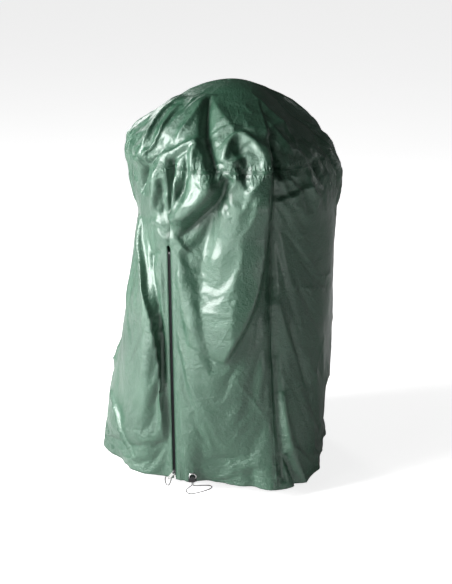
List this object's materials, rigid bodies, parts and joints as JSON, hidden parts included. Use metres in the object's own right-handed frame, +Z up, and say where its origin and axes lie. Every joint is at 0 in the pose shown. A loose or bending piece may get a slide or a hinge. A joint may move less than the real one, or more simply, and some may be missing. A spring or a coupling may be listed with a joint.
{
  "type": "kettle grill cover",
  "caption": "Tall round grill cover of coated green cloth: a domed hood sewn to a long skirt with a long side zip, an eyelet and a drawcord hem with a cord lock.",
  "frame": {"origin": "centre of the cover's mouth, in the plane of the hem", "axes": "+Z up to the crown; the zip runs up the -Y side; +X is to the right of someone facing the zip"},
  "size_m": [0.644, 0.6001, 1.0807],
  "materials": {
    "cover_cloth": "coated woven polyester, half gloss",
    "inner_cloth": "the cover cloth's matt inner side, turned back",
    "seam_tape": "woven binding",
    "zip_tape": "woven polyester tape",
    "zip_teeth": "moulded nylon",
    "zip_metal": "black enamel on die-cast zinc",
    "pull_tab_metal": "bright nickel plate",
    "eyelet_metal": "nickel plate",
    "cord": "braided elastic cord",
    "lock_plastic": "moulded nylon",
    "spring_steel": "spring steel wire"
  },
  "bodies": {
    "cover": {"drawcord_bight": "cord", "drawcord_in_hem": "cord", "drawcord_loop": "cord", "eyelet_rim": "eyelet_metal", "eyelet_washer": "eyelet_metal", "hem_fold_front": "inner_cloth", "hem_fold_left": "inner_cloth", "hem_fold_right": "inner_cloth", "hood_back_panel": "cover_cloth", "hood_front_panel": "cover_cloth", "ridge_seam_binding": "seam_tape", "seam_binding_above_zip": "seam_tape", "seam_binding_back": "seam_tape", "seam_binding_front_right": "seam_tape", "shoulder_seam_binding": "seam_tape", "skirt_front_panel": "cover_cloth", "skirt_left_panel": "cover_cloth", "skirt_right_panel": "cover_cloth", "zip_chain_left": "zip_teeth", "zip_chain_right": "zip_teeth", "zip_facing_left": "inner_cloth", "zip_facing_right": "inner_cloth", "zip_stop_left": "pull_tab_metal", "zip_stop_right": "pull_tab_metal", "zip_tape_left": "zip_tape", "zip_tape_right": "zip_tape", "zip_top_stop": "pull_tab_metal"},
    "slider": {"zip_slider": "zip_metal"},
    "pull_tab": {"zip_pull_tab": "pull_tab_metal"},
    "lock_barrel": {"cord_lock_barrel": "lock_plastic", "cord_lock_spring": "spring_steel"},
    "lock_plunger": {"cord_lock_plunger": "lock_plastic"}
  },
  "joints": [
    {"name": "slider_slide", "type": "slide", "parent": "cover", "child": "slider", "axis": [-0.0268, 0.0207, 0.9994], "range_m": [0, 0.6134], "deforming": ["zip_chain_left", "zip_chain_right"]},
    {"name": "pull_tab_swing", "type": "hinge", "parent": "slider", "child": "pull_tab", "pos_m": [-0.00061, -0.28028, 0.02002], "axis": [-0.7823, 0.0454, 0.6212], "range_deg": [0, 150]},
    {"name": "cord_lock_slide", "type": "slide", "parent": "cover", "child": "lock_barrel", "axis": [0.3809, -0.6521, -0.6555], "range_m": [0, 0.006]},
    {"name": "plunger_press", "type": "slide", "parent": "lock_barrel", "child": "lock_plunger", "axis": [-0.8635, -0.5043, 0], "range_m": [0, 0.003], "stiffness_N_per_m": 500, "springref_m": -0.003, "deforming": ["cord_lock_spring"]}
  ]
}
